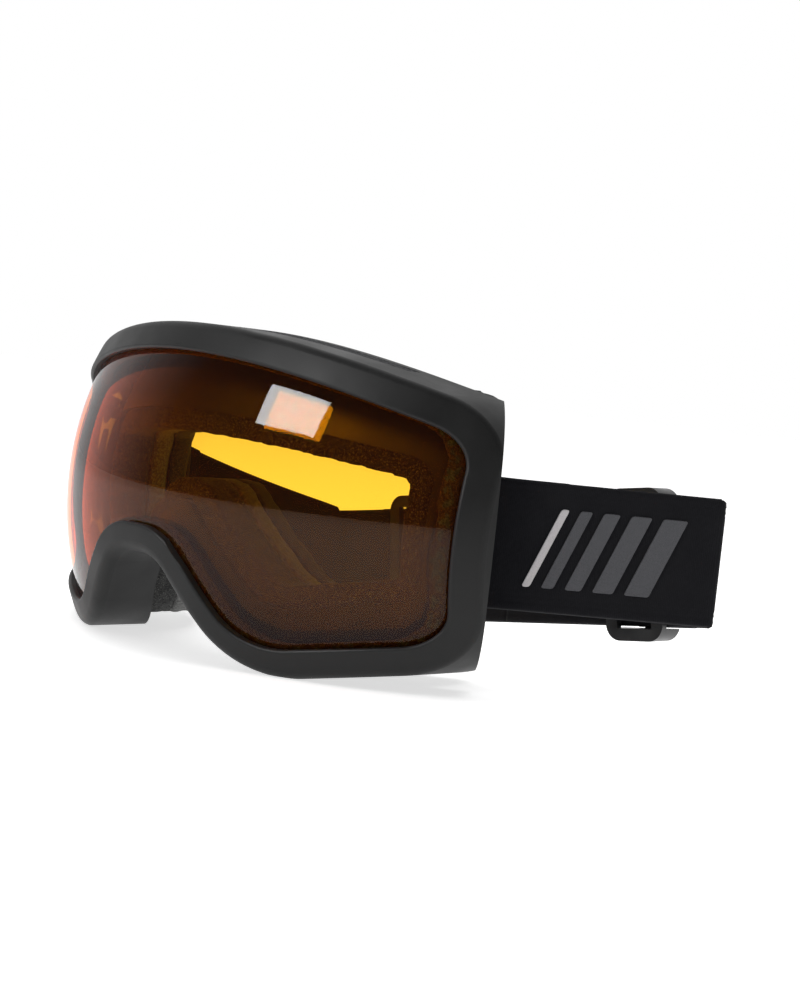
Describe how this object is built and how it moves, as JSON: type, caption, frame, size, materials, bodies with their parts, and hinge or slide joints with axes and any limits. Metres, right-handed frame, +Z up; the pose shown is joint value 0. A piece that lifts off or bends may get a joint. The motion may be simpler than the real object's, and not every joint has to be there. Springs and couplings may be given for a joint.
{
  "type": "ski goggles",
  "caption": "Wrap-around ski goggles with a curved double lens in a flexible frame, layered face foam, foam-filtered vents and an elastic strap with slide adjusters.",
  "frame": {"origin": "front-most point of the outer lens, on the plane of symmetry of the frame", "axes": "+Z up, -Y the way the wearer looks, +X towards the wearer's left"},
  "size_m": [0.2099, 0.1191, 0.0939],
  "materials": {
    "frame_rubber": "matte soft-touch",
    "lens_orange": "glossy tinted polycarbonate",
    "lens_inner_clear": "glossy tinted acetate",
    "gasket_foam": "matte closed-cell foam",
    "vent_foam": "matte open-cell foam",
    "foam_dark": "matte open-cell foam",
    "foam_grey": "matte open-cell foam",
    "foam_skin": "brushed fleece",
    "webbing": "woven elastic",
    "slider_plastic": "satin moulded",
    "thread": "satin thread"
  },
  "bodies": {
    "goggles": {"frame": "frame_rubber", "lens_outer": "lens_orange", "lens_gasket": "gasket_foam", "lens_inner": "lens_inner_clear", "vent_foam_brow": "vent_foam", "vent_foam_cheek_left": "vent_foam", "vent_foam_cheek_right": "vent_foam", "face_foam_base": "foam_dark", "face_foam_middle": "foam_grey", "face_foam_skin": "foam_skin"},
    "left_leg": {"strap_left": "webbing", "tacks_leg_left": "thread"},
    "rear_web": {"strap_rear": "webbing"},
    "right_leg": {"strap_right": "webbing", "tacks_leg_right": "thread"},
    "left_adjuster": {"slider_left": "slider_plastic", "strap_tail_left": "webbing", "tacks_tail_left": "thread"},
    "right_adjuster": {"slider_right": "slider_plastic", "strap_tail_right": "webbing", "tacks_tail_right": "thread"}
  },
  "joints": [
    {"name": "strap_swing", "type": "hinge", "parent": "goggles", "child": "left_leg", "pos_m": [0.076, 0.057, 0], "axis": [0, 0, -1], "range_deg": [-60, 2]},
    {"name": "left_fold", "type": "hinge", "parent": "left_leg", "child": "rear_web", "pos_m": [0.122, 0.11, 0], "axis": [0, 0, -1], "range_deg": [-2, 60]},
    {"name": "right_fold", "type": "hinge", "parent": "rear_web", "child": "right_leg", "pos_m": [-0.03, 0.11, -0.022], "axis": [0, 0, -1], "range_deg": [-60, 2]},
    {"name": "left_adjuster_slide", "type": "slide", "parent": "rear_web", "child": "left_adjuster", "axis": [-0.9897, 0, -0.1432], "range_m": [-0.008, 0.03]},
    {"name": "right_adjuster_slide", "type": "slide", "parent": "rear_web", "child": "right_adjuster", "axis": [-0.9897, 0, -0.1432], "range_m": [-0.025, 0.02]}
  ],
  "couplings": [
    {"joint": "left_fold", "follows": "strap_swing", "ratio": -1},
    {"joint": "right_fold", "follows": "strap_swing", "ratio": 1}
  ]
}
